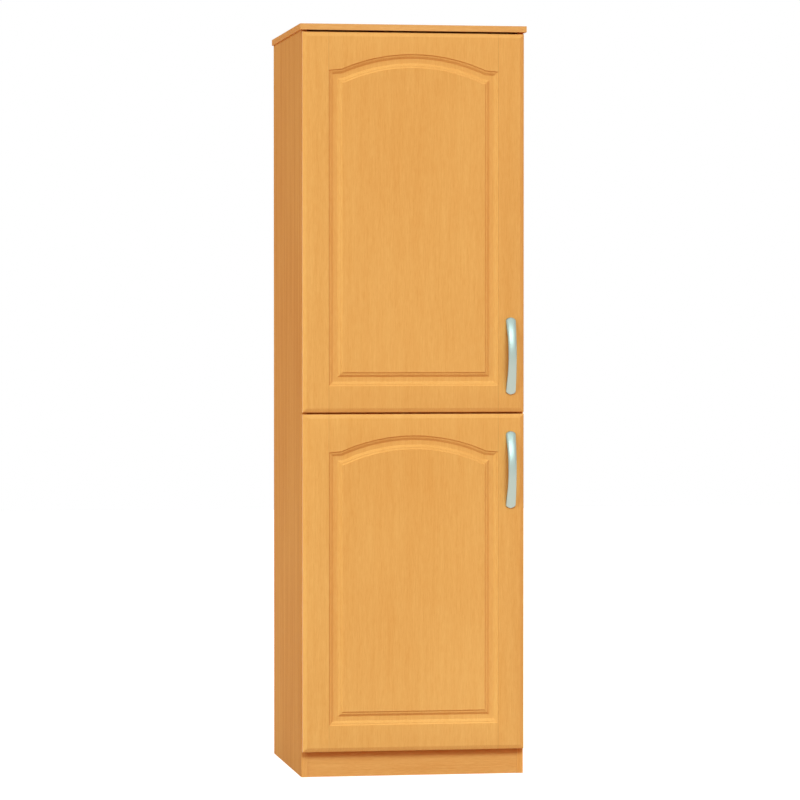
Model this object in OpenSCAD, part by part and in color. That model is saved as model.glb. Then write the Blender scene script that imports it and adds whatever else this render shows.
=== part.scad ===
// Tall kitchen cabinet for a built-in refrigerator, with a larder above it.
// Sizes are in millimetres. X runs to the right, Y to the back and Z up.
// The origin is on the floor, in the middle of the whole width and depth.

/* [Carcass] */
// Overall height, floor to the top of the top board
cabinet_h = 2000; // [1800:10:2300]
// Width over the side panels
cabinet_w = 600; // [500:10:700]
// Depth of the side panels
carcass_d = 560; // [500:10:620]
// Distance of the fixed boards' front edges behind those of the side panels
board_setback = 2; // [2:0.5:6]
// Thickness of the side panels, the fixed boards and the shelves
board_t = 16; // [16:0.5:19]
// Height of the plinth under the bottom board
plinth_h = 64; // [60:1:150]
// Distance of the plinth board behind the side panels' front edges
plinth_setback = 2; // [0:0.5:60]
// Distance of the rear plinth rail from the back of the carcass
rear_rail_setback = 60; // [45:5:120]
// Clear height of the refrigerator niche
niche_h = 880; // [700:5:960]
// Thickness of the top board
top_t = 16; // [16:1:30]
// Overhang of the top board past each side panel
top_overhang = 5; // [0:0.5:20]
// How far the top board's front stands ahead of the carcass
top_nosing = 22; // [0:0.5:40]

/* [Back and air duct] */
// Thickness of the hardboard back panel
back_t = 3; // [2.5:0.5:6]
// Depth of the air duct behind the back panel
duct_d = 40; // [36:1:60]
// Depth of the grooves that hold the back panel
groove_d = 6; // [4:0.5:8]
// Play of the back panel in its grooves
groove_play = 0.2; // [0.1:0.1:0.5]
// Width of the air cut-outs at the back of the boards
vent_w = 440; // [200:10:450]
// Depth of the air cut-outs
vent_d = 34; // [20:1:35]

/* [Shelves] */
// Distance of the shelves behind the carcass front
shelf_setback = 20; // [5:1:60]
// Side play of the shelves, at each end
shelf_play = 1; // [0.5:0.5:3]
// Number of holes in each group of shelf holes
shelf_hole_count = 5; // [1:2:7]
// Pitch of the shelf holes and of the hinge plate screws
system_pitch = 32; // [25:1:32]
// Distance of the front row of holes from the carcass front
system_row = 37; // [30:1:50]
// Distance of the rear row of shelf holes from the back panel
rear_row = 60; // [40:5:120]
// Diameter of the shelf holes
shelf_hole_dia = 5; // [3:0.5:5]
// Depth of the shelf holes
shelf_hole_depth = 10; // [8:0.5:12]

/* [Doors] */
// Thickness of the doors
door_t = 18; // [17:0.5:22]
// Gap between the carcass front and the doors
door_back_gap = 2; // [2:0.1:4]
// Gap between the two doors
door_split = 5; // [2:0.5:8]
// Gap above the upper door
door_top_gap = 5; // [2:0.5:8]
// Gap between the plinth's top and the lower door's bottom edge
door_foot_gap = 4; // [2:0.5:12]
// Distance of the doors' side edges inside the side panels' outer faces
door_reveal = 1.5; // [0.5:0.5:3]
// Width of the bevel round each door
bevel_w = 11; // [4:0.5:16]
// Depth of the bevel at the door's edge
bevel_d = 3.6; // [2:0.1:5]
// Size of the rounding between the bevel and the door's side faces
edge_r = 1.2; // [0.4:0.1:2]

/* [Door routing] */
// Width of the plain frame beside and below the routed groove
frame_w = 70; // [60:1:90]
// Distance from the door's top edge to the crown of the arch
crown_drop = 57; // [40:1:90]
// Rise of the arch above its shoulders
arch_rise = 41; // [20:1:60]
// Length of the shoulder at each end of the arch
shoulder_len = 34; // [30:1:60]
// Rise of each shoulder towards the arch
shoulder_rise = 3; // [0:0.5:5]
// Depth of the groove
groove_depth = 7; // [3:0.5:8]
// Width of the groove's outer side, from the plain frame down to the flat
outer_slope_w = 13.5; // [8:0.5:16]
// Width of the groove's flat bottom
flat_w = 8.5; // [4:0.5:14]
// Width of the groove's inner side, from the flat up to the raised field
inner_slope_w = 14.5; // [8:0.5:17]
// Height of the small step at both sides of the groove
quirk_h = 0.2; // [0.1:0.1:1.2]

/* [Handles] */
// Overall length of a handle
handle_len = 205; // [180:1:240]
// Distance between the handle's two screws
handle_centres = 160; // [128:1:170]
// How far a handle reaches ahead of the door
handle_reach = 30; // [24:1:40]
// Width of the handle at its middle
handle_w = 22; // [14:0.5:30]
// Extra width of the handle at its feet
handle_flare = 4.5; // [0:0.5:8]
// Thickness of the strap at its middle
handle_t = 4.5; // [3:0.5:8]
// Length of each solid foot
foot_len = 30; // [28:1:34]
// Height of the tip of each foot
tip_h = 3; // [2:0.5:5]
// Drop of the strap's edges below its crown
handle_crown = 1.6; // [0.5:0.1:2]
// Distance of the handle's centre line from the door's free edge
handle_inset = 36.5; // [30:0.5:60]
// Distance of the handle's end from the door's near edge
handle_end = 47; // [30:1:120]

/* [Hinges] */
// Diameter of the hinge cups
cup_dia = 35; // [35:0.5:36]
// Depth of the hinge cup bores
cup_depth = 12; // [11.5:0.1:12.5]
// Distance from the door's hinged edge to the cup's centre
cup_inset = 21.5; // [21:0.1:22.5]
// Distance of the outer hinges from the ends of the door
hinge_end = 100; // [80:5:160]
// Number of hinges on the upper door
upper_hinges = 3; // [2:1:4]
// Number of hinges on the lower door
lower_hinges = 2; // [2:1:4]
// Diameter of the hinge pins
pin_dia = 2.6; // [2.4:0.1:2.8]
// Radial clearance of a link on its pin
pin_play = 0.05; // [0.02:0.01:0.1]

/* [Hidden] */
$fn = 48;
beech = [0.91, 0.66, 0.36];
beech_side = [0.82, 0.57, 0.31];
nickel = [0.72, 0.76, 0.74];
steel = [0.66, 0.67, 0.68];

// Places across the width
side_x = cabinet_w / 2;
inner_x = side_x - board_t;
inner_w = 2 * inner_x;
door_w = cabinet_w - 2 * door_reveal;

// Places through the depth
whole_d = carcass_d + door_back_gap + door_t + handle_reach;
back_y = whole_d / 2;
front_y = back_y - carcass_d;
door_back_y = front_y - door_back_gap;
door_front_y = door_back_y - door_t;
back_panel_y = back_y - duct_d - back_t;

// Heights
side_h = cabinet_h - top_t;
niche_z = plinth_h + board_t;
mid_z = niche_z + niche_h;
larder_z = mid_z + board_t;
larder_h = side_h - larder_z;
split_z = mid_z + board_t / 2;
lower_door_z = plinth_h + door_foot_gap;
lower_door_h = split_z - door_split / 2 - lower_door_z;
upper_door_z = split_z + door_split / 2;
upper_door_h = side_h - door_top_gap - upper_door_z;

// Board fittings
cam_r = 7.5;
cam_depth = 13;
cam_inset = 34;
cam_play = 0.1;
bolt_hole_r = 3.5;
bolt_thread_r = 2.5;
bolt_thread_len = 11;
dowel_r = 4;
dowel_panel_len = 10;
dowel_board_len = 20;
dowel_play = 0.05;
fitting_inset = 60;
dowel_offset = 32;
fitting_ys = [front_y + fitting_inset, back_panel_y - fitting_inset];
dowel_ys = [front_y + fitting_inset + dowel_offset, back_panel_y - fitting_inset - dowel_offset];
plinth_y = front_y + plinth_setback;
rear_rail_y = back_y - rear_rail_setback - board_t;
rail_dowel_zs = [plinth_h * 0.3, plinth_h * 0.7];

// Shelves and their pins
shelf_pin_r = 3.5;
shelf_pin_out = 7;
pin_fit = 0.05;
shelf_zs = [larder_z + larder_h / 3, larder_z + larder_h * 2 / 3];
shelf_front_y = front_y + shelf_setback;
shelf_depth = back_panel_y - 1 - shelf_front_y;
shelf_row_ys = [front_y + system_row, back_panel_y - rear_row];
hole_steps = (shelf_hole_count - 1) / 2;

// Braces over the open back of the niche
brace_t = 1.5;
brace_h = 50;
brace_bearing = 9;
brace_play = 0.2;
brace_screw_x = inner_x + 4.5;
brace_inset = 150;
brace_zs = [niche_z + brace_inset, mid_z - brace_inset];
brace_screw_r = 1.7;
brace_screw_len = 16;
brace_head_t = brace_t - 0.1;

// Wall brackets in the duct
bracket_t = 2;
bracket_side = 32;
bracket_leg = 38;
bracket_h = 40;
bracket_drop = 60;
bracket_z = side_h - bracket_drop;
bracket_hole_r = 3;
bracket_hole_inset = 24;
bracket_hole_x = inner_x - bracket_hole_inset;
bracket_screw_r = 1.9;
bracket_screw_len = 12;
access_r = 9;

// Door bumpers
bumper_r = 4;
bumper_t = door_back_gap - 0.3;
bumper_x = side_x - board_t / 2;
bumper_inset = 30;
bumper_zs = [lower_door_z + bumper_inset, lower_door_z + lower_door_h - bumper_inset,
             upper_door_z + bumper_inset, upper_door_z + upper_door_h - bumper_inset];

// Handles
handle_x = door_w / 2 - handle_inset;
upper_handle_z = handle_end + handle_len / 2;
lower_handle_z = lower_door_h - handle_end - handle_len / 2;
handle_screw_r = 2;
handle_hole_r = 2.3;
handle_tap_depth = 9;
handle_tap_r = 2.05;
screw_head_r = 4;
screw_head_t = 2.4;

// Hinges, in a frame on each cup axis at the door back: u runs to the right and v to the front
inner_arm_pin = [7.5, -13];
outer_arm_pin = [17.6, -4.8];
inner_cup_pin = [-10.5, 2.5];
outer_cup_pin = [-5, 2.4];
inner_link_path = [inner_arm_pin, [6.5, -5], [5.1, -1], [1.1, 3], [-4.9, 7], [-7.6, 6.7], inner_cup_pin];
outer_link_path = [outer_arm_pin, [13, -4.4], [10.6, -1.6], [7.4, 1.2], [4.2, 2.4], outer_cup_pin];
link_half = 2;
arm_half = 2.5;
link_gap = 0.3;
boss_r = 2.8;
cup_boss_r = 2.4;
web_half = 1.2;
link_z = web_half + link_gap;
cheek_z = 7.2;
cheek_t = 1.6;
// The outer link's cup pivot is left open by this much, because its pin drifts in the eye as the door turns
open_pivot_play = 2.1;
open_eye_r = 4.2;
cup_wall = 1.2;
cup_play = 0.1;
cup_flange_t = 1.3;
cup_screw_x = 9.5;
cup_screw_z = 22.5;
cup_screw_r = 1.7;
cup_screw_len = 12;
cup_x = -side_x + door_reveal + cup_inset;
panel_u = -inner_x - cup_x;
plate_v = -door_back_gap - system_row;
plate_half = 20;
plate_top = 8;
plate_wing_t = 2.5;
plate_wing_w = 12;
plate_wing_h = 44;
plate_body_h = 11;
plate_hole_r = 2.5;
plate_screw_len = 12;
arm_web_t = 1.5;
arm_root_u = panel_u + plate_top + link_gap + arm_web_t - arm_half;
arm_screw_r = 2;
pin_r = pin_dia / 2;
function spread(n, height, offset) =
    [for (i = [0:n - 1]) offset + hinge_end + i * (height - 2 * hinge_end) / (n - 1)];
upper_hinge_zs = spread(upper_hinges, upper_door_h, upper_door_z);
lower_hinge_zs = spread(lower_hinges, lower_door_h, lower_door_z);
hinge_zs = concat(upper_hinge_zs, lower_hinge_zs);

// Placing

module both_sides() {
    children();
    mirror([1, 0, 0]) children();
}

// A fitting's frame has +X from the side panel into the board and -Z out of the face that shows the cam
module at_board_ends(ys) {
    both_sides()
        for (y = ys, z = [plinth_h + board_t / 2, mid_z + board_t / 2])
            translate([-inner_x, y, z]) children();
}

module at_panel_tops(ys) {
    both_sides()
        for (y = ys)
            translate([-side_x + board_t / 2, y, side_h])
                mirror([1, 0, 0]) rotate([0, 90, 0]) children();
}

module at_plinth_ends() {
    both_sides()
        for (y = [plinth_y + board_t / 2, rear_rail_y + board_t / 2], z = rail_dowel_zs)
            translate([-inner_x, y, z]) children();
}

module at_all_fittings(ys) {
    at_board_ends(ys) children();
    at_panel_tops(ys) children();
}

module at_hinges(zs) {
    for (z = zs)
        translate([cup_x, door_back_y, z]) mirror([0, 1, 0]) children();
}

module along_x(from, to, r) {
    translate([from, 0, 0]) rotate([0, 90, 0]) cylinder(h = to - from, r = r);
}

module along_y(from, to, r) {
    translate([0, from, 0]) rotate([-90, 0, 0]) cylinder(h = to - from, r = r);
}

// Board fittings

module cam_bore() {
    translate([cam_inset, 0, -board_t / 2 - 1]) cylinder(h = cam_depth + 1, r = cam_r);
    along_x(-1, cam_inset, bolt_hole_r);
}

module bolt_bore() {
    along_x(-bolt_thread_len, 1, bolt_thread_r);
}

module dowel_bore() {
    along_x(-dowel_panel_len - pin_fit, dowel_board_len + pin_fit, dowel_r + dowel_play);
}

module cam_lock() {
    difference() {
        translate([cam_inset, 0, -board_t / 2]) cylinder(h = cam_depth - cam_play, r = cam_r - cam_play);
        along_x(cam_inset - cam_r - 1, cam_inset + 3, bolt_hole_r);
        translate([cam_inset - 5, -0.7, -board_t / 2 - 1]) cube([10, 1.4, 2.5]);
        translate([cam_inset - 0.7, -5, -board_t / 2 - 1]) cube([1.4, 10, 2.5]);
    }
}

module cam_bolt() {
    along_x(-bolt_thread_len + cam_play, 0, bolt_thread_r - pin_fit);
    along_x(0, cam_inset - cam_r - 1, bolt_hole_r - cam_play);
    along_x(cam_inset - cam_r - 1, cam_inset, 2);
    along_x(cam_inset - 1, cam_inset + 2.5, bolt_hole_r - cam_play);
}

module cam_locks() {
    color(steel) at_all_fittings(fitting_ys) cam_lock();
}

module cam_bolts() {
    color(steel) at_all_fittings(fitting_ys) cam_bolt();
}

module dowels() {
    color([0.86, 0.7, 0.47]) {
        at_all_fittings(dowel_ys) along_x(-dowel_panel_len, dowel_board_len, dowel_r);
        at_plinth_ends() along_x(-dowel_panel_len, dowel_board_len, dowel_r);
    }
}

// Side panels

module shelf_holes() {
    for (y = shelf_row_ys, z = shelf_zs, i = [-hole_steps:1:hole_steps])
        translate([-inner_x, y, z + i * system_pitch - shelf_pin_r])
            along_x(-shelf_hole_depth, 1, shelf_hole_dia / 2);
}

module back_groove(height) {
    translate([-inner_x - groove_d, back_panel_y - groove_play / 2, 0])
        cube([inner_w + 2 * groove_d, back_t + groove_play, height]);
}

module brace_rebates() {
    for (z = brace_zs)
        translate([-inner_x - brace_bearing - brace_play, back_y - brace_t, z - brace_play])
            cube([inner_w + 2 * (brace_bearing + brace_play), brace_t + 1, brace_h + 2 * brace_play]);
}

module at_brace_screws() {
    both_sides()
        for (z = brace_zs, dz = [brace_h / 4, brace_h * 3 / 4])
            translate([-brace_screw_x, back_y, z + dz]) children();
}

module at_bracket_screws() {
    both_sides()
        for (dz = [-bracket_h * 0.3, bracket_h * 0.3])
            translate([-inner_x, back_y - bracket_side / 2, bracket_z + dz]) children();
}

module at_bracket_holes() {
    both_sides()
        translate([-bracket_hole_x, back_y, bracket_z]) children();
}

module side_panel() {
    difference() {
        translate([-side_x, front_y, 0]) cube([board_t, carcass_d, side_h]);
        at_board_ends(fitting_ys) bolt_bore();
        at_all_dowels() dowel_bore();
        at_panel_tops(fitting_ys) cam_bore();
        shelf_holes();
        translate([0, 0, larder_z - groove_d]) back_groove(cabinet_h);
        brace_rebates();
        at_brace_screws() along_y(-brace_screw_len - pin_fit, 1, brace_screw_r + pin_fit);
        at_bracket_screws() along_x(-bracket_screw_len - pin_fit, 1, bracket_screw_r + pin_fit);
    }
}

module at_all_dowels() {
    at_all_fittings(dowel_ys) children();
    at_plinth_ends() children();
}

module left_side_panel() {
    color(beech_side)
        difference() {
            side_panel();
            at_hinges(hinge_zs) at_plate_screws() along_x(-plate_screw_len - 0.5, 1, plate_hole_r);
        }
}

module right_side_panel() {
    color(beech_side) mirror([1, 0, 0]) side_panel();
}

// Boards between the side panels

module vent_cut(z) {
    translate([-vent_w / 2, back_y - vent_d, z - 1]) cube([vent_w, vent_d + 1, max(board_t, top_t) + 2]);
}

module fixed_board(z) {
    difference() {
        translate([-inner_x, front_y + board_setback, z])
            cube([inner_w, carcass_d - board_setback, board_t]);
        at_board_ends(fitting_ys) cam_bore();
        at_board_ends(dowel_ys) dowel_bore();
        vent_cut(z);
    }
}

module bottom_board() {
    color(beech) fixed_board(plinth_h);
}

module mid_shelf() {
    color(beech)
        difference() {
            fixed_board(mid_z);
            translate([0, 0, larder_z - groove_d]) back_groove(board_t);
        }
}

module top_board() {
    color(beech)
        difference() {
            translate([-side_x - top_overhang, front_y - top_nosing, side_h])
                cube([cabinet_w + 2 * top_overhang, carcass_d + top_nosing, top_t]);
            at_panel_tops(fitting_ys) bolt_bore();
            at_panel_tops(dowel_ys) dowel_bore();
            translate([0, 0, side_h - 1]) back_groove(groove_d + 1);
            vent_cut(side_h);
        }
}

module rail(y) {
    difference() {
        translate([-inner_x, y, 0]) cube([inner_w, board_t, plinth_h]);
        at_plinth_ends() dowel_bore();
    }
}

module plinth_board() {
    color(beech) rail(plinth_y);
}

module rear_plinth_rail() {
    color(beech) rail(rear_rail_y);
}

module back_panel() {
    color([0.93, 0.9, 0.84])
        difference() {
            translate([-inner_x - groove_d + 0.5, back_panel_y, larder_z - groove_d + groove_play])
                cube([inner_w + 2 * groove_d - 1, back_t, larder_h + 2 * groove_d - 2 * groove_play]);
            at_bracket_holes() along_y(-duct_d - back_t - 1, -duct_d + 1, access_r);
        }
}

module shelf(z) {
    translate([-inner_x + shelf_play, shelf_front_y, z])
        cube([inner_w - 2 * shelf_play, shelf_depth, board_t]);
}

module lower_shelf() {
    color(beech) shelf(shelf_zs[0]);
}

module upper_shelf() {
    color(beech) shelf(shelf_zs[1]);
}

module shelf_pins() {
    color(steel)
        both_sides()
            for (y = shelf_row_ys, z = shelf_zs)
                translate([-inner_x, y, z - shelf_pin_r]) {
                    along_x(-shelf_hole_depth + 0.3, 0, shelf_hole_dia / 2 - pin_fit);
                    along_x(0, shelf_pin_out, shelf_pin_r - pin_fit);
                }
}

// Braces, wall brackets and bumpers

module brace_screw(play, past) {
    r = brace_screw_r + play;
    along_y(-brace_screw_len, past, r);
    translate([0, -brace_head_t, 0])
        rotate([-90, 0, 0]) cylinder(h = brace_head_t + past, r1 = r, r2 = r + brace_head_t + past);
}

module niche_braces() {
    color(steel)
        difference() {
            for (z = brace_zs)
                translate([-inner_x - brace_bearing, back_y - brace_t, z])
                    cube([inner_w + 2 * brace_bearing, brace_t, brace_h]);
            at_brace_screws() brace_screw(pin_fit, 1);
        }
}

module brace_screws() {
    color(steel) at_brace_screws() brace_screw(0, 0);
}

module wall_brackets() {
    color(steel)
        both_sides()
            difference() {
                translate([-inner_x, back_y - bracket_side, bracket_z - bracket_h / 2])
                    union() {
                        cube([bracket_t, bracket_side, bracket_h]);
                        translate([0, bracket_side - bracket_t, 0]) cube([bracket_leg, bracket_t, bracket_h]);
                    }
                at_bracket_screws() along_x(-1, bracket_t + 1, bracket_screw_r + pin_fit);
                at_bracket_holes() along_y(-bracket_t - 1, 1, bracket_hole_r);
            }
}

module bracket_screws() {
    color(steel)
        at_bracket_screws() {
            along_x(-bracket_screw_len, bracket_t, bracket_screw_r);
            along_x(bracket_t, bracket_t + 2, 2 * bracket_screw_r);
        }
}

module door_bumpers() {
    color([0.85, 0.85, 0.82])
        for (z = bumper_zs)
            translate([bumper_x, front_y, z]) along_y(-bumper_t, 0, bumper_r);
}

// Doors

// One rounded edge and bevel of a door's section, from its side face to its plain frame
edge_steps = 5;
bevel_start = [edge_r, bevel_d * (1 - edge_r / bevel_w)];
function bevel_half(half) = concat(
    [for (i = [0:edge_steps]) let (t = i / edge_steps, corner = 2 * t * (1 - t))
        [half - t * t * bevel_start[0],
         -door_t + (1 - t) * (1 - t) * (bevel_d + edge_r) + corner * bevel_d + t * t * bevel_start[1]]],
    [[half - bevel_w, -door_t]]
);
function door_section(half) = let (edge = bevel_half(half)) concat(
    [[-half, 0], [half, 0]],
    edge,
    [for (i = [len(edge) - 1:-1:0]) [-edge[i][0], edge[i][1]]]
);

module door_blank(h) {
    intersection() {
        linear_extrude(height = h) polygon(door_section(door_w / 2));
        translate([-door_w / 2, 0, h / 2])
            rotate([90, 0, 90]) linear_extrude(height = door_w)
                polygon([for (p = door_section(h / 2)) [p[1], p[0]]]);
    }
}

// Outline of the routed panel, anticlockwise as seen from the front, as [x, z]
panel_half = door_w / 2 - frame_w;
chord_half = panel_half - shoulder_len;
arch_r = (chord_half * chord_half + arch_rise * arch_rise) / (2 * arch_rise);
arch_steps = 20;
function panel_outline(h) = let (
    crown_z = h - crown_drop,
    spring_z = crown_z - arch_rise,
    corner_z = spring_z - shoulder_rise,
    half_angle = asin(chord_half / arch_r)
) concat(
    [[-panel_half, frame_w], [panel_half, frame_w], [panel_half, corner_z]],
    [for (i = [0:arch_steps]) let (a = half_angle * (1 - 2 * i / arch_steps))
        [arch_r * sin(a), crown_z - arch_r + arch_r * cos(a)]],
    [[-panel_half, corner_z]]
);

// Corners of the groove's two sides, as shares of a side's width and of the groove's depth
outer_side = [
    [0, 0], [0.15, 0.29], [0.22, 0.35], [0.39, 0.4],
    [0.46, 0.46], [0.83, 0.94], [0.92, 0.99], [1, 1]
];
inner_side = [
    [0, 1], [0.1, 0.98], [0.19, 0.91], [0.51, 0.46],
    [0.59, 0.38], [0.76, 0.34], [0.83, 0.28], [1, 0]
];
// Section of the groove as [distance in from the outline, depth below the door's face]
groove_w = outer_slope_w + flat_w + inner_slope_w;
function groove_at(share) = quirk_h + (groove_depth - quirk_h) * share;
groove_section = concat(
    [[0, -1]],
    [for (p = outer_side) [outer_slope_w * p[0], groove_at(p[1])]],
    [for (p = inner_side) [outer_slope_w + flat_w + inner_slope_w * p[0], groove_at(p[1])]],
    [[groove_w, -1]]
);

function unit(v) = v / norm(v);
function left_of(v) = [-v[1], v[0]];
// Inward step at each corner of an outline that keeps both of its edges parallel
function mitres(pts) = let (n = len(pts)) [
    for (i = [0:n - 1])
        let (
            before = left_of(unit(pts[i] - pts[(i + n - 1) % n])),
            after = left_of(unit(pts[(i + 1) % n] - pts[i]))
        )
        (before + after) / (1 + before * after)
];

module groove_ring(h) {
    pts = panel_outline(h);
    steps = mitres(pts);
    n = len(pts);
    m = len(groove_section);
    polyhedron(
        points = [
            for (g = groove_section, i = [0:n - 1])
                let (p = pts[i] + g[0] * steps[i]) [p[0], -door_t + g[1], p[1]]
        ],
        faces = [
            for (j = [0:m - 1], i = [0:n - 1])
                let (j_next = (j + 1) % m, i_next = (i + 1) % n)
                [j * n + i, j * n + i_next, j_next * n + i_next, j_next * n + i]
        ]
    );
}

module at_handle_screws(z) {
    for (dz = [-handle_centres / 2, handle_centres / 2])
        translate([handle_x, 0, z + dz]) children();
}

module door(h, first_z, hinges, handle_z) {
    difference() {
        door_blank(h);
        groove_ring(h);
        at_handle_screws(handle_z) along_y(-door_t - 1, 1, handle_hole_r);
        for (z = hinges)
            translate([-door_w / 2 + cup_inset, 0, z - first_z]) {
                along_y(-cup_depth, 1, cup_dia / 2);
                for (dz = [-cup_screw_z, cup_screw_z])
                    translate([cup_screw_x, 0, dz])
                        along_y(-cup_screw_len - pin_fit, 1, cup_screw_r + pin_fit);
            }
    }
}

module upper_door() {
    color(beech)
        translate([0, door_back_y, upper_door_z])
            door(upper_door_h, upper_door_z, upper_hinge_zs, upper_handle_z);
}

module lower_door() {
    color(beech)
        translate([0, door_back_y, lower_door_z])
            door(lower_door_h, lower_door_z, lower_hinge_zs, lower_handle_z);
}

// Handles

// Stations along a handle, closer together at its rounded ends
tip_len = 9;
tip_steps = 5;
bow_steps = 22;
handle_half = handle_len / 2;
station_zs = concat(
    [for (i = [tip_steps:-1:1]) -handle_half + tip_len * (1 - sin(90 * i / tip_steps))],
    [for (i = [0:bow_steps]) (handle_half - tip_len) * (2 * i / bow_steps - 1)],
    [for (i = [1:tip_steps]) handle_half - tip_len * (1 - sin(90 * i / tip_steps))]
);
function tip_share(z) = max(0, (abs(z) - handle_half + tip_len) / tip_len);
function strap_half(z) = let (s = z / handle_half)
    (handle_w + handle_flare * s * s) / 2 * max(0.25, pow(1 - pow(tip_share(z), 2.4), 0.45));
function strap_outer(z) = let (s = z / handle_half) tip_h + (handle_reach - tip_h) * (1 - s * s);
function strap_inner(z) = let (s = z / (handle_half - foot_len))
    abs(s) >= 1 ? 0 : (handle_reach - handle_t) * pow(1 - s * s, 0.6);
// One ring round the strap: flat inside, crowned outside, as [x, distance from the door]
function strap_ring(z) = let (
    hw = strap_half(z),
    top = strap_outer(z),
    low = strap_inner(z),
    crown = min(handle_crown, (top - low) / 2)
) concat(
    [[-hw, low + 0.3], [-hw + 0.3, low], [hw - 0.3, low], [hw, low + 0.3]],
    [for (i = [0:8]) let (s = 1 - i / 4) [hw * s, top - crown * s * s * (0.4 + 0.6 * s * s)]]
);

module bow() {
    n = len(station_zs);
    m = len(strap_ring(0));
    polyhedron(
        points = [for (z = station_zs, p = strap_ring(z)) [p[0], -p[1], z]],
        faces = concat(
            [[for (i = [0:m - 1]) i]],
            [for (j = [0:n - 2], i = [0:m - 1])
                let (a = j * m + i, b = j * m + (i + 1) % m)
                [a, a + m, b + m, b]],
            [[for (i = [m - 1:-1:0]) (n - 1) * m + i]]
        )
    );
}

module handle() {
    difference() {
        bow();
        for (z = [-handle_centres / 2, handle_centres / 2])
            translate([0, 0, z]) along_y(-handle_tap_depth, 1, handle_tap_r);
    }
}

module handle_screws(z) {
    at_handle_screws(z) {
        along_y(-door_t - handle_tap_depth + 1, 0, handle_screw_r);
        along_y(0, screw_head_t, screw_head_r);
    }
}

module upper_handle() {
    color(nickel) translate([handle_x, door_front_y, upper_door_z + upper_handle_z]) handle();
}

module lower_handle() {
    color(nickel) translate([handle_x, door_front_y, lower_door_z + lower_handle_z]) handle();
}

module upper_handle_screws() {
    color(steel) translate([0, door_back_y, upper_door_z]) handle_screws(upper_handle_z);
}

module lower_handle_screws() {
    color(steel) translate([0, door_back_y, lower_door_z]) handle_screws(lower_handle_z);
}

// Hinges

// One long side of a flat bar whose middle line is a path
function strap_side(path, half) = let (n = len(path)) [
    for (i = [0:n - 1])
        let (
            before = left_of(unit(path[max(i, 1)] - path[max(i, 1) - 1])),
            after = left_of(unit(path[min(i, n - 2) + 1] - path[min(i, n - 2)]))
        )
        path[i] + half * (before + after) / (1 + before * after)
];

module strap(path, half) {
    far = strap_side(path, -half);
    polygon(concat(strap_side(path, half), [for (i = [len(path) - 1:-1:0]) far[i]]));
}

module at_plate_screws() {
    for (dz = [-system_pitch / 2, system_pitch / 2])
        translate([panel_u, plate_v, dz]) children();
}

module hinge_plates() {
    color(steel)
        at_hinges(hinge_zs)
            difference() {
                union() {
                    translate([panel_u, plate_v - plate_half, -plate_body_h / 2])
                        cube([plate_top, 2 * plate_half, plate_body_h]);
                    translate([panel_u, plate_v - plate_wing_w / 2, -plate_wing_h / 2])
                        cube([plate_wing_t, plate_wing_w, plate_wing_h]);
                }
                at_plate_screws() along_x(-1, plate_top, plate_hole_r + pin_fit);
                translate([panel_u, plate_v - 8, 0]) along_x(1, plate_top + 1, arm_screw_r + pin_fit);
            }
}

module plate_screws() {
    color(steel)
        at_hinges(hinge_zs) at_plate_screws() {
            along_x(-plate_screw_len, plate_wing_t, plate_hole_r - pin_fit);
            along_x(plate_wing_t, plate_wing_t + 2, 4.2);
        }
}

module hinge_arms() {
    arm_path = [[arm_root_u, plate_v - plate_half], [arm_root_u, plate_v + plate_half - 8],
                inner_arm_pin, outer_arm_pin];
    color(steel)
        at_hinges(hinge_zs)
            difference() {
                union() {
                    for (z = [-cheek_z - cheek_t, cheek_z])
                        translate([0, 0, z])
                            linear_extrude(height = cheek_t) {
                                strap(arm_path, arm_half);
                                translate(inner_arm_pin) circle(r = boss_r);
                                translate(outer_arm_pin) circle(r = boss_r);
                            }
                    translate([panel_u + plate_top + link_gap, plate_v - plate_half, -cheek_z - cheek_t])
                        cube([arm_web_t, 2 * plate_half - 10, 2 * (cheek_z + cheek_t)]);
                }
                translate([inner_arm_pin[0], inner_arm_pin[1], -cheek_z - cheek_t - 1])
                    cylinder(h = cheek_t + 2, r = pin_r + pin_play);
                translate([outer_arm_pin[0], outer_arm_pin[1], cheek_z - 1])
                    cylinder(h = cheek_t + 2, r = pin_r + pin_play);
                translate([panel_u, plate_v - 8, 0]) along_x(plate_top, plate_top + 3, arm_screw_r + pin_fit);
            }
}

module arm_screws() {
    head_u = plate_top + link_gap + arm_web_t;
    color(steel)
        at_hinges(hinge_zs)
            translate([panel_u, plate_v - 8, 0]) {
                along_x(1.5, head_u, arm_screw_r);
                along_x(head_u, head_u + 1.5, 3.5);
            }
}

module arm_pins() {
    color(steel)
        at_hinges(hinge_zs) {
            translate([inner_arm_pin[0], inner_arm_pin[1], -cheek_z - cheek_t])
                cylinder(h = cheek_z + cheek_t - link_z, r = pin_r);
            translate([outer_arm_pin[0], outer_arm_pin[1], link_z])
                cylinder(h = cheek_z + cheek_t - link_z, r = pin_r);
        }
}

// The inner link lies below the cup's web, between it and the lower cheek
module inner_links(zs) {
    color(steel)
        at_hinges(zs)
            translate([0, 0, -cheek_z + link_gap])
                linear_extrude(height = cheek_z - link_gap - link_z)
                    difference() {
                        union() {
                            strap(inner_link_path, link_half);
                            translate(inner_arm_pin) circle(r = boss_r);
                            translate(inner_cup_pin) circle(r = cup_boss_r);
                        }
                        translate(inner_arm_pin) circle(r = pin_r + pin_play);
                        translate(inner_cup_pin) circle(r = pin_r + pin_play);
                    }
}

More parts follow.
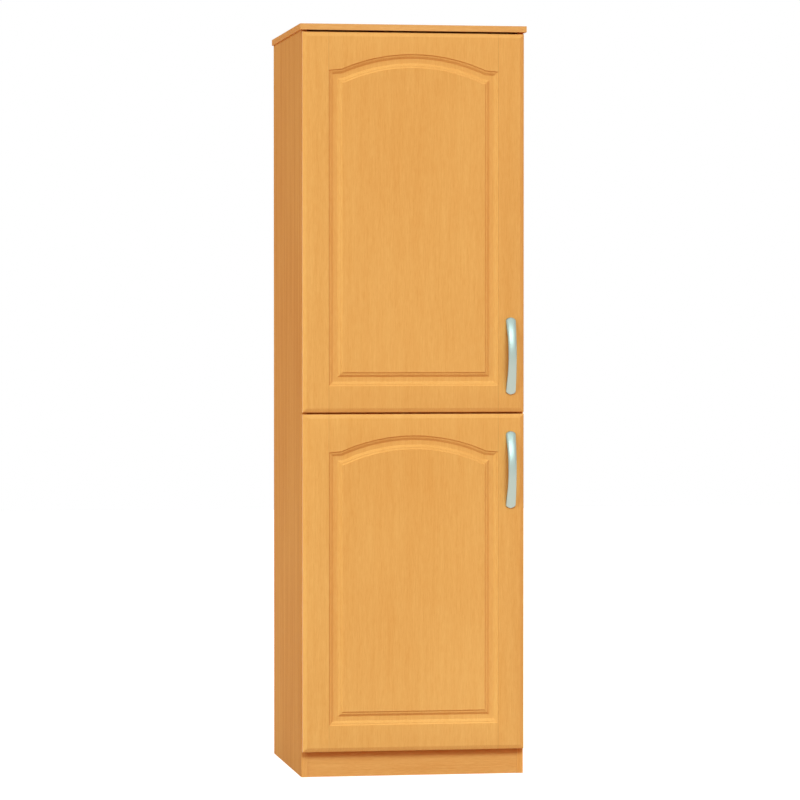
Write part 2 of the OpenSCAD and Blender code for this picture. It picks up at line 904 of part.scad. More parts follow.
// The outer link lies above the web
module outer_links(zs) {
    color(steel)
        at_hinges(zs)
            translate([0, 0, link_z])
                linear_extrude(height = cheek_z - link_gap - link_z)
                    difference() {
                        union() {
                            strap(outer_link_path, link_half);
                            translate(outer_arm_pin) circle(r = boss_r);
                            translate(outer_cup_pin) circle(r = open_eye_r);
                        }
                        translate(outer_arm_pin) circle(r = pin_r + pin_play);
                        translate(outer_cup_pin) circle(r = pin_r + open_pivot_play);
                    }
}

module hinge_cups(zs) {
    inner_r = cup_dia / 2 - cup_play - cup_wall;
    color(steel)
        at_hinges(zs)
            difference() {
                union() {
                    difference() {
                        union() {
                            along_y(0, cup_depth - cup_play, cup_dia / 2 - cup_play);
                            intersection() {
                                along_y(-cup_flange_t, 0, cup_dia / 2 + 1.5);
                                translate([-cup_dia / 2, -2, -cup_dia]) cube(2 * cup_dia);
                            }
                            translate([cup_screw_x - 6, -cup_flange_t, -cup_screw_z])
                                cube([12, cup_flange_t, 2 * cup_screw_z]);
                            for (dz = [-cup_screw_z, cup_screw_z])
                                translate([cup_screw_x, 0, dz]) along_y(-cup_flange_t, 0, 6);
                        }
                        along_y(-cup_flange_t - 1, cup_depth - cup_play - 1, inner_r);
                    }
                    translate([inner_cup_pin[0] - 2.2, 0.5, -web_half])
                        cube([outer_cup_pin[0] - inner_cup_pin[0] + 4.4, cup_depth - 1, 2 * web_half]);
                }
                for (p = [inner_cup_pin, outer_cup_pin])
                    translate([p[0], p[1], -web_half - 1])
                        cylinder(h = 2 * web_half + 2, r = pin_r + pin_play);
                for (dz = [-cup_screw_z, cup_screw_z])
                    translate([cup_screw_x, 0, dz]) along_y(-cup_flange_t - 1, 1, cup_screw_r + pin_fit);
            }
}

module cup_screws(zs) {
    color(steel)
        at_hinges(zs)
            for (dz = [-cup_screw_z, cup_screw_z])
                translate([cup_screw_x, 0, dz]) {
                    along_y(-cup_flange_t, cup_screw_len, cup_screw_r);
                    along_y(-cup_flange_t - 0.4, -cup_flange_t, 2 * cup_screw_r);
                }
}

module cup_pins(zs) {
    color(steel)
        at_hinges(zs) {
            translate([inner_cup_pin[0], inner_cup_pin[1], -cheek_z + link_gap])
                cylinder(h = cheek_z - link_gap + web_half, r = pin_r);
            translate([outer_cup_pin[0], outer_cup_pin[1], -web_half])
                cylinder(h = cheek_z - link_gap + web_half, r = pin_r);
        }
}

module upper_inner_links() { inner_links(upper_hinge_zs); }
module upper_outer_links() { outer_links(upper_hinge_zs); }
module upper_hinge_cups() { hinge_cups(upper_hinge_zs); }
module upper_cup_screws() { cup_screws(upper_hinge_zs); }
module upper_cup_pins() { cup_pins(upper_hinge_zs); }
module lower_inner_links() { inner_links(lower_hinge_zs); }
module lower_outer_links() { outer_links(lower_hinge_zs); }
module lower_hinge_cups() { hinge_cups(lower_hinge_zs); }
module lower_cup_screws() { cup_screws(lower_hinge_zs); }
module lower_cup_pins() { cup_pins(lower_hinge_zs); }

left_side_panel();
right_side_panel();
top_board();
bottom_board();
mid_shelf();
plinth_board();
rear_plinth_rail();
back_panel();
lower_shelf();
upper_shelf();
shelf_pins();
cam_locks();
cam_bolts();
dowels();
niche_braces();
brace_screws();
wall_brackets();
bracket_screws();
door_bumpers();
hinge_plates();
plate_screws();
hinge_arms();
arm_screws();
arm_pins();
upper_door();
upper_handle();
upper_handle_screws();
upper_hinge_cups();
upper_cup_screws();
upper_cup_pins();
upper_inner_links();
upper_outer_links();
lower_door();
lower_handle();
lower_handle_screws();
lower_hinge_cups();
lower_cup_screws();
lower_cup_pins();
lower_inner_links();
lower_outer_links();
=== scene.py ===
import math

import bpy
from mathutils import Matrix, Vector
from mathutils.geometry import tessellate_polygon


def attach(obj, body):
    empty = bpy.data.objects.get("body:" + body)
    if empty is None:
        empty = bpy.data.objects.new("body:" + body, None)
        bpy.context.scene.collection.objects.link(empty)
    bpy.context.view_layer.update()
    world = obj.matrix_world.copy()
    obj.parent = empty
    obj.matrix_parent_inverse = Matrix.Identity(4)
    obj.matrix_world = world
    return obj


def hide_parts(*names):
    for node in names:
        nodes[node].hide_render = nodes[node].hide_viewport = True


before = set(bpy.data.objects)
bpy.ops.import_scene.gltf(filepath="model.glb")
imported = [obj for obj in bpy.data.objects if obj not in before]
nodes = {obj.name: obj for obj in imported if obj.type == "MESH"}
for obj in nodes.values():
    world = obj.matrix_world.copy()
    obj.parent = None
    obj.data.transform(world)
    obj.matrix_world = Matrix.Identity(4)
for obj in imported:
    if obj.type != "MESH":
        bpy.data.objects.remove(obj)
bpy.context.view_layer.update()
scene = bpy.context.scene

# Sizes in metres, as in the part's source

DOOR_W = 0.597
DOOR_T = 0.018
DOOR_BACK_Y = -0.257
DOOR_FRONT_Y = DOOR_BACK_Y - DOOR_T
UPPER_Z = 0.9705
UPPER_H = 1.0085
LOWER_Z = 0.068
LOWER_H = 0.8975

BEVEL_W = 0.011
BEVEL_D = 0.0036
EDGE_R = 0.0012
FRAME_W = 0.070
CROWN_DROP = 0.057
ARCH_RISE = 0.041
SHOULDER_LEN = 0.034
SHOULDER_RISE = 0.003

CUP_R = 0.0175
CUP_DEPTH = 0.012
CUP_INSET = 0.0215
HINGE_END = 0.100

HANDLE_HALF = 0.1025
HANDLE_REACH = 0.030
HANDLE_W = 0.022
HANDLE_FLARE = 0.0045
HANDLE_T = 0.0045
HANDLE_INSET = 0.0365
HANDLE_END = 0.047
FOOT_LEN = 0.030
TIP_H = 0.003
TIP_LEN = 0.009
HANDLE_CROWN = 0.0016

# Camera, in metres and degrees, with its lens and sensor in millimetres

CAMERA_AT = (-1.642, -9.966, 1.197)
CAMERA_YAW = 9.40
CAMERA_PITCH = -1.13
CAMERA_LENS = 166.2
SENSOR_WIDTH = 36.0
CLIP_END = 100.0

cam_data = bpy.data.cameras.new("camera")
cam_data.sensor_width = SENSOR_WIDTH
cam_data.lens = CAMERA_LENS
cam_data.clip_end = CLIP_END
cam = bpy.data.objects.new("camera", cam_data)
cam.location = CAMERA_AT
cam.rotation_euler = (math.radians(90 + CAMERA_PITCH), 0, math.radians(-CAMERA_YAW))
scene.collection.objects.link(cam)
scene.camera = cam

# Node helpers

WHITE = (1.0, 1.0, 1.0, 1.0)


def linear(r, g, b):
    """A colour given in sRGB from 0 to 255, as the shaders want it."""
    out = []
    for v in (r, g, b):
        v /= 255.0
        out.append(v / 12.92 if v <= 0.04045 else ((v + 0.055) / 1.055) ** 2.4)
    return (*out, 1.0)


def feed(tree, socket, value):
    """Give a socket a number, a vector, a colour or the output of another node."""
    if isinstance(value, (int, float, tuple)):
        socket.default_value = value
    else:
        tree.links.new(value, socket)


def math_node(tree, operation, *values):
    n = tree.nodes.new("ShaderNodeMath")
    n.operation = operation
    for socket, value in zip(n.inputs, values):
        feed(tree, socket, value)
    return n.outputs[0]


def vector_sum(tree, a, b):
    n = tree.nodes.new("ShaderNodeVectorMath")
    n.operation = "ADD"
    feed(tree, n.inputs[0], a)
    feed(tree, n.inputs[1], b)
    return n.outputs[0]


def mix_colour(tree, factor, a, b):
    n = tree.nodes.new("ShaderNodeMix")
    n.data_type = "RGBA"
    feed(tree, n.inputs["Factor"], factor)
    feed(tree, n.inputs["A"], a)
    feed(tree, n.inputs["B"], b)
    return n.outputs["Result"]


def noise(tree, coords, scale, detail, roughness, distortion=0.0):
    """Noise stretched by a different scale along each axis."""
    mapping = tree.nodes.new("ShaderNodeMapping")
    mapping.inputs["Scale"].default_value = scale
    tree.links.new(coords, mapping.inputs["Vector"])
    n = tree.nodes.new("ShaderNodeTexNoise")
    n.inputs["Scale"].default_value = 1.0
    n.inputs["Detail"].default_value = detail
    n.inputs["Roughness"].default_value = roughness
    n.inputs["Distortion"].default_value = distortion
    tree.links.new(mapping.outputs[0], n.inputs["Vector"])
    return n.outputs["Fac"]


def seen_directly(tree):
    """1 for what the camera, a reflection or a view through glass sees, and 0 for light on the object."""
    path = tree.nodes.new("ShaderNodeLightPath")
    seen = math_node(tree, "MAXIMUM", path.outputs["Is Camera Ray"], path.outputs["Is Glossy Ray"])
    return math_node(tree, "MAXIMUM", seen, path.outputs["Is Transmission Ray"])


# Materials


def new_material(name, roughness, metallic=0.0, specular=0.5, tint=WHITE):
    m = bpy.data.materials.new(name)
    m.use_nodes = True
    shader = m.node_tree.nodes["Principled BSDF"]
    shader.inputs["Roughness"].default_value = roughness
    shader.inputs["Metallic"].default_value = metallic
    shader.inputs["Specular IOR Level"].default_value = specular
    shader.inputs["Specular Tint"].default_value = tint
    return m, shader


def plain(name, colour, roughness, metallic=0.0):
    m, shader = new_material(name, roughness, metallic)
    shader.inputs["Base Color"].default_value = colour
    return m


X_AXIS, Y_AXIS, Z_AXIS = 0, 1, 2

# The layers of the beech print, as noise with so many cells a metre across the grain and along it
BROAD = {"across": 46.0, "along": 1.6, "detail": 2.0, "roughness": 0.5, "distortion": 0.3}
STREAKS = {"across": 260.0, "along": 10.0, "detail": 3.0, "roughness": 0.6}
FINE = {"across": 900.0, "along": 50.0, "detail": 2.0, "roughness": 0.6}
FLECKS = {"across": 700.0, "along": 100.0, "detail": 1.0, "roughness": 0.5}
CLOUD = {"scale": (2.2, 2.2, 1.6), "detail": 2.0, "roughness": 0.5}

# How far each layer moves the tone, which runs from 0 for the darkest to 1 for the lightest
MIDDLE_TONE = 0.5
BROAD_SHARE = 0.24
STREAK_SHARE = 0.48
FINE_SHARE = 0.85
CLOUD_SHARE = 0.5
FLECK_SHARE = 0.10
FLECK_LEVEL = 0.66

# The darkest and the lightest tone as shares of the print's colour
DARK_SHADE = (0.875, 0.74, 0.57)
LIGHT_SHADE = (1.105, 1.23, 1.38)

PRINT_TINT = (0.6, 1.0, 0.8, 1.0)
# A seed moves the print by so much along each axis
SEED_STEP = (1.0, 0.7, 1.3)

# The print breaks at the doors' stiles, with a fine dark joint there
STILE_X = DOOR_W / 2 - FRAME_W
STILE_SHIFT = 3.7
JOINT_HALF_W = 0.0006
JOINT_SHARE = 0.30
JOINT_COLOUR = linear(150, 85, 40)

# A face looks along an axis where that part of its normal is above this
FACING = 0.7


def grain(tree, coords, axis, across, along, detail, roughness, distortion=0.0):
    """Noise stretched along one axis."""
    scale = tuple(along if i == axis else across for i in range(3))
    return noise(tree, coords, scale, detail, roughness, distortion)


def shades(colour):
    """The darkest and the lightest tone of the print: redder when dark, yellower when light."""
    dark = tuple(c * k for c, k in zip(colour[:3], DARK_SHADE)) + (1.0,)
    light = tuple(min(1.0, c * k) for c, k in zip(colour[:3], LIGHT_SHADE)) + (1.0,)
    return dark, light


def break_at_stiles(tree, coords, moved, stile_x):
    """The print's coordinates, shifted beyond the stiles' joints, and a mask of those joints."""
    xyz = tree.nodes.new("ShaderNodeSeparateXYZ")
    tree.links.new(coords, xyz.inputs[0])
    x = math_node(tree, "ABSOLUTE", xyz.outputs["X"])
    outside = math_node(tree, "GREATER_THAN", x, stile_x)
    shift = tree.nodes.new("ShaderNodeCombineXYZ")
    tree.links.new(math_node(tree, "MULTIPLY", outside, STILE_SHIFT), shift.inputs["Z"])
    away = math_node(tree, "ABSOLUTE", math_node(tree, "SUBTRACT", x, stile_x))
    joint = math_node(tree, "LESS_THAN", away, JOINT_HALF_W)
    return vector_sum(tree, moved, shift.outputs[0]), joint


def print_tone(tree, coords, axis, contrast, broad):
    """The tone of the print: broad soft bands, fine streaks, slow clouds and short dark flecks."""

    def part(value, share):
        return math_node(tree, "MULTIPLY", math_node(tree, "SUBTRACT", value, MIDDLE_TONE), share * contrast)

    total = part(grain(tree, coords, axis, **BROAD), broad)
    for value, share in (
        (grain(tree, coords, axis, **STREAKS), STREAK_SHARE),
        (grain(tree, coords, axis, **FINE), FINE_SHARE),
        (noise(tree, coords, **CLOUD), CLOUD_SHARE),
    ):
        total = math_node(tree, "ADD", total, part(value, share))
    fleck = math_node(tree, "GREATER_THAN", grain(tree, coords, axis, **FLECKS), FLECK_LEVEL)
    fleck = math_node(tree, "MULTIPLY", fleck, -FLECK_SHARE * contrast)
    total = math_node(tree, "ADD", total, fleck)
    clamp = tree.nodes.new("ShaderNodeClamp")
    tree.links.new(math_node(tree, "ADD", total, MIDDLE_TONE), clamp.inputs[0])
    return clamp.outputs[0]


def with_shade_by_facing(tree, normal, tone, faces, axis, colour):
    """The colour of the faces, with another colour for the faces that look along an axis: painted shade
    where that colour is darker, painted light where it is lighter.
    """
    xyz = tree.nodes.new("ShaderNodeSeparateXYZ")
    tree.links.new(normal, xyz.inputs[0])
    turned = math_node(tree, "ABSOLUTE", xyz.outputs[axis])
    turned = math_node(tree, "GREATER_THAN", turned, FACING)
    return mix_colour(tree, turned, faces, mix_colour(tree, tone, *shades(colour)))


def beech(
    name,
    colour,
    contrast,
    roughness,
    specular,
    axis=Z_AXIS,
    broad=BROAD_SHARE,
    stile_x=None,
    seed=0.0,
    shade_by_facing=None,
):
    """Printed beech with its grain along one axis.

    A shade by facing is an axis and another colour for the faces that look along it: painted shade or
    painted light by which way a face looks.
    """
    m, shader = new_material(name, roughness, specular=specular, tint=PRINT_TINT)
    tree = m.node_tree
    texture = tree.nodes.new("ShaderNodeTexCoord")
    coords = texture.outputs["Object"]
    moved = vector_sum(tree, coords, tuple(seed * step for step in SEED_STEP))
    joint = None
    if stile_x is not None:
        moved, joint = break_at_stiles(tree, coords, moved, stile_x)
    tone = print_tone(tree, moved, axis, contrast, broad)
    out = mix_colour(tree, tone, *shades(colour))
    # Faces that look along the given axis get another colour, as painted shade or light by which way they
    # face
    if shade_by_facing is not None:
        out = with_shade_by_facing(tree, texture.outputs["Normal"], tone, out, *shade_by_facing)
    if joint is not None:
        out = mix_colour(tree, math_node(tree, "MULTIPLY", joint, JOINT_SHARE), out, JOINT_COLOUR)
    tree.links.new(out, shader.inputs["Base Color"])
    return m


FRONT = linear(232, 163, 82)
CROSS = linear(226, 153, 77)
# The side boards' broad faces are darker than their front and back edges: painted shade on the faces that
# look sideways
SIDE = linear(206, 138, 61)
TOP = linear(229, 161, 86)
SIDE_UNSHADED_EDGES = linear(234, 163, 85)
# The top board's ends are darker than its top and front: painted shade on the faces that look sideways
TOP_SHADED_ENDS = linear(209, 139, 63)

MATERIAL = {
    "door": beech("door_foil", FRONT, contrast=1.0, roughness=0.34, specular=0.08, stile_x=STILE_X),
    "side": beech(
        "side_board",
        SIDE,
        contrast=1.5,
        roughness=0.6,
        specular=0.03,
        broad=0.8,
        seed=7.9,
        shade_by_facing=(Y_AXIS, SIDE_UNSHADED_EDGES),
    ),
    "top": beech(
        "top_board",
        TOP,
        contrast=1.4,
        roughness=0.6,
        specular=0.05,
        axis=X_AXIS,
        seed=5.1,
        shade_by_facing=(X_AXIS, TOP_SHADED_ENDS),
    ),
    "cross": beech("cross_board", CROSS, contrast=1.4, roughness=0.6, specular=0.05, axis=X_AXIS, seed=5.1),
    "hardboard": plain("hardboard", linear(236, 230, 216), roughness=0.6),
    "dowel": plain("dowel_wood", linear(214, 180, 132), roughness=0.7),
    "nickel": plain("satin_nickel", linear(167, 184, 176), roughness=0.37, metallic=1.0),
    "steel": plain("zinc_steel", linear(196, 198, 200), roughness=0.32, metallic=1.0),
    "bumper": plain("bumper", linear(222, 222, 214), roughness=0.45),
}

# Nodes that aren't named here are doors, handles or steel
DRESS = {
    "left_side_panel": "side",
    "right_side_panel": "side",
    "top_board": "top",
    "bottom_board": "cross",
    "mid_shelf": "cross",
    "plinth_board": "cross",
    "rear_plinth_rail": "cross",
    "lower_shelf": "cross",
    "upper_shelf": "cross",
    "back_panel": "hardboard",
    "dowels": "dowel",
    "door_bumpers": "bumper",
}
BOARD_KINDS = ("side", "top", "cross")

for name, obj in nodes.items():
    material = MATERIAL[DRESS.get(name, "steel")]
    if name.endswith("_handle"):
        material = MATERIAL["nickel"]
    if name.endswith("_door"):
        material = MATERIAL["door"]
    if not obj.material_slots:
        obj.data.materials.append(material)
    for s in obj.material_slots:
        s.material = material

# Boards have slightly rounded edge bands

BAND_R = 0.0006
BAND_SEGMENTS = 2
BAND_ANGLE = 60

for name, kind in DRESS.items():
    if kind in BOARD_KINDS:
        edge = nodes[name].modifiers.new("edge", "BEVEL")
        edge.width = BAND_R
        edge.segments = BAND_SEGMENTS
        edge.limit_method = "ANGLE"
        edge.angle_limit = math.radians(BAND_ANGLE)
        edge.harden_normals = False

# Mesh helpers

TINY_AREA = 1e-12


class Shell:
    """The points and faces of one closed mesh."""

    def __init__(self):
        self.verts = []
        self.faces = []

    def add(self, points):
        """Add a loop of points and give their indices."""
        start = len(self.verts)
        self.verts.extend(points)
        return list(range(start, len(self.verts)))

    def stitch(self, a, b, flip=False):
        """Join two loops by a band of quads, turned the other way round where flip is set."""
        n = len(a)
        for i in range(n):
            j = (i + 1) % n
            self.faces.append([a[i], b[i], b[j], a[j]] if flip else [a[i], a[j], b[j], b[i]])

    def sweep(self, rings, flip=False):
        """Join each ring to the next one."""
        for a, b in zip(rings, rings[1:]):
            self.stitch(a, b, flip)

    def fill(self, outer, holes, flip=False):
        """Fill a flat loop round its holes. The triangles look to the front, or to the back with flip."""
        loops = [outer, *holes]
        flat = [i for loop in loops for i in loop]
        outlines = [[Vector((self.verts[i][0], self.verts[i][2], 0)) for i in loop] for loop in loops]
        for triangle in tessellate_polygon(outlines):
            a, b, c = (flat[i] for i in triangle)
            (ax, _, az), (bx, _, bz), (cx, _, cz) = (self.verts[i] for i in (a, b, c))
            twice_area = (bx - ax) * (cz - az) - (cx - ax) * (bz - az)
            if abs(twice_area) < TINY_AREA:
                continue
            anticlockwise = twice_area > 0
            self.faces.append([a, b, c] if anticlockwise != flip else [a, c, b])


def make(name, shell, material, body, sharp):
    """A smooth piece of the given body, with creases where its faces meet at more than sharp degrees."""
    mesh = bpy.data.meshes.new(name)
    mesh.from_pydata(shell.verts, [], shell.faces)
    mesh.validate()
    mesh.update()
    mesh.shade_smooth()
    mesh.set_sharp_from_angle(angle=math.radians(sharp))
    mesh.materials.append(material)
    obj = bpy.data.objects.new(name, mesh)
    scene.collection.objects.link(obj)
    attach(obj, body)
    return obj


# Doors

BEVEL_STEPS = 8
CREASE = 0.0002
ARCH_STEPS = 72
CUP_SIDES = 48
DOOR_SHARP = 12.0

# Section of the routed groove as distance in from its outline and depth below the face, in millimetres
GROOVE = [
    (-0.1, 0.0),
    (0.0, 0.2),
    (2.0, 2.2),
    (3.0, 2.6),
    (5.2, 2.9),
    (6.2, 3.3),
    (11.2, 6.6),
    (12.4, 6.95),
    (13.5, 7.0),
    (22.0, 7.0),
    (23.5, 6.9),
    (24.8, 6.4),
    (29.4, 3.3),
    (30.6, 2.8),
    (33.0, 2.5),
    (34.0, 2.1),
    (36.4, 0.2),
    (36.6, 0.0),
]


def bevel_profile():
    """Inset and depth from the door's side face up its rounded edge and bevel to the flat frame."""
    run = EDGE_R * BEVEL_D / BEVEL_W
    start, corner, end = (0.0, BEVEL_D + EDGE_R), (0.0, BEVEL_D), (EDGE_R, BEVEL_D - run)
    out = []
    for i in range(BEVEL_STEPS + 1):
        t = i / BEVEL_STEPS
        a, b, c = (1 - t) ** 2, 2 * t * (1 - t), t * t
        out.append(tuple(a * p + b * q + c * r for p, q, r in zip(start, corner, end)))
    out.append((BEVEL_W - CREASE, BEVEL_D * CREASE / BEVEL_W))
    out.append((BEVEL_W + CREASE, 0.0))
    return out


def panel_outline(h):
    """The routed panel's outline as (x, z) from the door's bottom middle, anticlockwise from the front."""
    half = DOOR_W / 2 - FRAME_W
    chord = half - SHOULDER_LEN
    radius = (chord * chord + ARCH_RISE * ARCH_RISE) / (2 * ARCH_RISE)
    crown = h - CROWN_DROP
    corner = crown - ARCH_RISE - SHOULDER_RISE
    spread = math.asin(chord / radius)
    pts = [(-half, FRAME_W), (half, FRAME_W), (half, corner)]
    for i in range(ARCH_STEPS + 1):
        a = spread * (1 - 2 * i / ARCH_STEPS)
        pts.append((radius * math.sin(a), crown - radius + radius * math.cos(a)))
    pts.append((-half, corner))
    return pts


def mitres(pts):
    """For each corner of an outline, how far it moves inward where the outline is offset by 1."""
    out = []
    n = len(pts)
    for i in range(n):
        before = Vector(pts[i]) - Vector(pts[i - 1])
        after = Vector(pts[(i + 1) % n]) - Vector(pts[i])
        a = Vector((-before.y, before.x)).normalized()
        b = Vector((-after.y, after.x)).normalized()
        out.append((a + b) / (1 + a.dot(b)))
    return out


def rect_loop(half_w, z0, z1):
    return [(-half_w, z0), (half_w, z0), (half_w, z1), (-half_w, z1)]


def add_cup_bore(shell, hinge_z):
    """A blind bore in the door's back face. Gives its rim."""
    circle = [
        (-DOOR_W / 2 + CUP_INSET + CUP_R * math.cos(a), hinge_z + CUP_R * math.sin(a))
        for a in (math.tau * i / CUP_SIDES for i in range(CUP_SIDES))
    ]
    rim = shell.add([(x, DOOR_BACK_Y, z) for x, z in circle])
    bottom = shell.add([(x, DOOR_BACK_Y - CUP_DEPTH, z) for x, z in circle])
    shell.stitch(rim, bottom, flip=True)
    shell.faces.append(bottom[::-1])
    return rim


def build_door(name, node, body, z0, h, hinge_zs):
    """A routed door as one closed mesh, with its bevel, its arched groove and its cup bores."""
    shell = Shell()

    def ring(points, depth):
        """A loop at a depth below the front face."""
        return shell.add([(x, DOOR_FRONT_Y + depth, z0 + z) for x, z in points])

    # Sides and bevel, from the back edge to the flat frame
    back = shell.add([(x, DOOR_BACK_Y, z0 + z) for x, z in rect_loop(DOOR_W / 2, 0, h)])
    sides = [back]
    for inset, depth in bevel_profile():
        sides.append(ring(rect_loop(DOOR_W / 2 - inset, inset, h - inset), depth))
    shell.sweep(sides)
    # Groove, from its outer edge to the raised field
    outline = panel_outline(h)
    step = mitres(outline)
    groove = []
    for offset, depth in GROOVE:
        pts = [(p[0] + offset / 1000 * m.x, p[1] + offset / 1000 * m.y) for p, m in zip(outline, step)]
        groove.append(ring(pts, depth / 1000))
    shell.sweep(groove)
    shell.fill(sides[-1], [groove[0]])
    shell.fill(groove[-1], [])
    # Back face with its cup bores
    shell.fill(back, [add_cup_bore(shell, z) for z in hinge_zs], flip=True)
    obj = make(name, shell, MATERIAL["door"], body, DOOR_SHARP)
    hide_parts(node)


def hinge_places(z0, h, n):
    return [z0 + HINGE_END + i * (h - 2 * HINGE_END) / (n - 1) for i in range(n)]


upper_hinges = hinge_places(UPPER_Z, UPPER_H, 3)
lower_hinges = hinge_places(LOWER_Z, LOWER_H, 2)
build_door("upper_door_panel", "upper_door", "upper_door", UPPER_Z, UPPER_H, upper_hinges)
build_door("lower_door_panel", "lower_door", "lower_door", LOWER_Z, LOWER_H, lower_hinges)

# Handles

HANDLE_X = DOOR_W / 2 - HANDLE_INSET
TIP_STEPS = 12
BOW_STEPS = 96
FACE_STEPS = 18
CORNER_STEPS = 3
HANDLE_SHARP = 50.0

# How the tips round off in width, and the least share of the width at their ends
TIP_POWER = 2.4
TIP_ROUND = 0.45
TIP_BLUNT = 0.25
# How the hollow under the bow rises from the feet
HOLLOW_POWER = 0.6
# The section's edges are rounded by this radius, or by this share of its height where that is less
ROUND_R = 0.0009
ROUND_SHARE = 0.45
EDGE_POWER = 6
# The crowned face falls off by these shares of the square and the fourth power of the distance across
CROWN_SQUARE = 0.4
CROWN_FOURTH = 0.6


def handle_stations():
    """Places along the handle from its middle, closer together in the tips."""
    bow = [(HANDLE_HALF - TIP_LEN) * (2 * i / BOW_STEPS - 1) for i in range(BOW_STEPS + 1)]
    tip = []
    for i in range(1, TIP_STEPS + 1):
        turn = math.radians(90 * i / TIP_STEPS)
        tip.append(HANDLE_HALF - TIP_LEN * (1 - math.sin(turn)))
    return [-z for z in reversed(tip)] + bow + tip


def handle_section(z):
    """The section at one place along the handle, as (across, distance from the door)."""
    s = z / HANDLE_HALF
    tip = max(0.0, (abs(z) - HANDLE_HALF + TIP_LEN) / TIP_LEN)
    narrowed = (1 - tip**TIP_POWER) ** TIP_ROUND if tip < 1 else 0.0
    half = (HANDLE_W + HANDLE_FLARE * s * s) / 2 * max(TIP_BLUNT, narrowed)
    top = TIP_H + (HANDLE_REACH - TIP_H) * (1 - s * s)
    q = z / (HANDLE_HALF - FOOT_LEN)
    low = 0.0 if abs(q) >= 1 else (HANDLE_REACH - HANDLE_T) * (1 - q * q) ** HOLLOW_POWER
    crown = min(HANDLE_CROWN, (top - low) / 2)
    r = min(ROUND_R, (top - low - crown) * ROUND_SHARE)
    # Flat inner face with rounded corners
    turns = [math.radians(90 * i / CORNER_STEPS) for i in range(CORNER_STEPS + 1)]
    pts = [(-half + r - r * math.cos(t), low + r - r * math.sin(t)) for t in turns]
    pts += [(half - r + r * math.sin(t), low + r - r * math.cos(t)) for t in turns]
    # Crowned outer face
    for i in range(FACE_STEPS + 1):
        u = 1 - 2 * i / FACE_STEPS
        edge = 1 - (1 - u**EDGE_POWER) ** 0.5
        pts.append((half * u, top - crown * u * u * (CROWN_SQUARE + CROWN_FOURTH * u * u) - r * edge))
    return pts


def build_handle(name, node, body, zc):
    """A cast bow with rounded tongue ends: a fine sweep of one rounded section."""
    shell = Shell()
    rings = []
    for z in handle_stations():
        rings.append(shell.add([(HANDLE_X + x, DOOR_FRONT_Y - y, zc + z) for x, y in handle_section(z)]))
    shell.sweep(rings, flip=True)
    shell.faces.append(rings[0])
    shell.faces.append(rings[-1][::-1])
    obj = make(name, shell, MATERIAL["nickel"], body, HANDLE_SHARP)
    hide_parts(node)


build_handle("upper_handle_bow", "upper_handle", "upper_door", UPPER_Z + HANDLE_END + HANDLE_HALF)
build_handle("lower_handle_bow", "lower_handle", "lower_door", LOWER_Z + LOWER_H - HANDLE_END - HANDLE_HALF)

# Floor and world

FLOOR_HALF = 14.0
FLOOR_COLOUR = (0.42, 0.27, 0.20, 1.0)
FLOOR_GLOW = 0.95
AMBIENT = (0.46, 0.11, 0.03, 1.0)


def floor_material():
    """A slightly warm floor that looks white where it is seen."""
    m = bpy.data.materials.new("floor")
    m.use_nodes = True
    tree = m.node_tree
    tree.nodes.clear()
    out = tree.nodes.new("ShaderNodeOutputMaterial")
    diffuse = tree.nodes.new("ShaderNodeBsdfDiffuse")
    diffuse.inputs["Color"].default_value = FLOOR_COLOUR
    glow = tree.nodes.new("ShaderNodeEmission")
    tree.links.new(math_node(tree, "MULTIPLY", seen_directly(tree), FLOOR_GLOW), glow.inputs["Strength"])
    add = tree.nodes.new("ShaderNodeAddShader")
    tree.links.new(diffuse.outputs[0], add.inputs[0])
    tree.links.new(glow.outputs[0], add.inputs[1])
    tree.links.new(add.outputs[0], out.inputs["Surface"])
    return m


def build_floor():
    r = FLOOR_HALF
    mesh = bpy.data.meshes.new("floor")
    mesh.from_pydata([(-r, -r, 0), (r, -r, 0), (r, r, 0), (-r, r, 0)], [], [(0, 1, 2, 3)])
    mesh.materials.append(floor_material())
    floor = bpy.data.objects.new("floor", mesh)
    scene.collection.objects.link(floor)


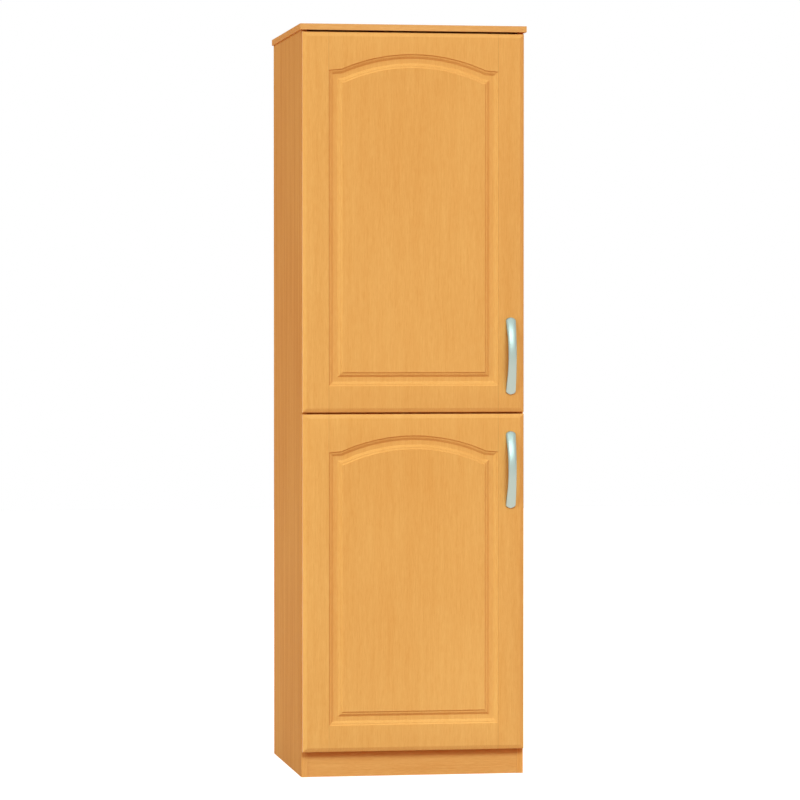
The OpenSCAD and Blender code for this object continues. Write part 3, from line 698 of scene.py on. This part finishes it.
def build_world():
    """White where it is seen, and a warm light on the object."""
    world = bpy.data.worlds.new("studio")
    scene.world = world
    world.use_nodes = True
    tree = world.node_tree
    tree.nodes.clear()
    out = tree.nodes.new("ShaderNodeOutputWorld")
    backdrop = tree.nodes.new("ShaderNodeBackground")
    tree.links.new(mix_colour(tree, seen_directly(tree), AMBIENT, WHITE), backdrop.inputs["Color"])
    tree.links.new(backdrop.outputs[0], out.inputs["Surface"])


build_floor()
build_world()

# Lamps

LAMP_COLOUR = (0.84, 1.0, 1.06)
KEY_COLOUR = (0.62, 1.0, 1.30)
LEFT_COLOUR = (0.55, 1.0, 1.25)
BACK_COLOUR = (0.62, 1.0, 1.15)


def lamp(name, kind, energy, colour, diffuse, gloss):
    data = bpy.data.lights.new(name, kind)
    data.energy = energy
    data.color = colour
    obj = bpy.data.objects.new(name, data)
    obj.visible_diffuse = diffuse
    obj.visible_glossy = gloss
    scene.collection.objects.link(obj)
    return obj


def sun(name, azimuth, elevation, strength, spread, colour, diffuse=True, gloss=True):
    """A soft distant lamp. Azimuth 0 shines along +Y, and negative ones come from the left."""
    obj = lamp(name, "SUN", strength, colour, diffuse, gloss)
    obj.data.angle = math.radians(spread)
    a, e = math.radians(azimuth), math.radians(elevation)
    towards = Vector((math.sin(a) * math.cos(e), -math.cos(a) * math.cos(e), math.sin(e)))
    obj.rotation_euler = towards.to_track_quat("Z", "Y").to_euler()


def panel(name, place, target, width, depth, power, colour):
    """A soft panel near the object, which no reflection shows."""
    obj = lamp(name, "AREA", power, colour, diffuse=True, gloss=False)
    obj.data.shape = "RECTANGLE"
    obj.data.size = width
    obj.data.size_y = depth
    obj.location = place
    obj.rotation_euler = (Vector(place) - Vector(target)).to_track_quat("Z", "Y").to_euler()


panel("left_side", (-3.2, -0.2, 1.1), (-0.3, 0.0, 1.0), width=1.4, depth=1.4, power=16, colour=LAMP_COLOUR)
sun("key", azimuth=8, elevation=45, strength=2.70, spread=23, colour=KEY_COLOUR, gloss=False)
sun("left_front", azimuth=-62, elevation=22, strength=1.90, spread=44, colour=LEFT_COLOUR, gloss=False)
sun("softbox", azimuth=4, elevation=30, strength=0.58, spread=16, colour=LAMP_COLOUR, diffuse=False)
sun("back", azimuth=142, elevation=32, strength=2.9, spread=50, colour=BACK_COLOUR, gloss=False)

scene.view_settings.view_transform = "Standard"
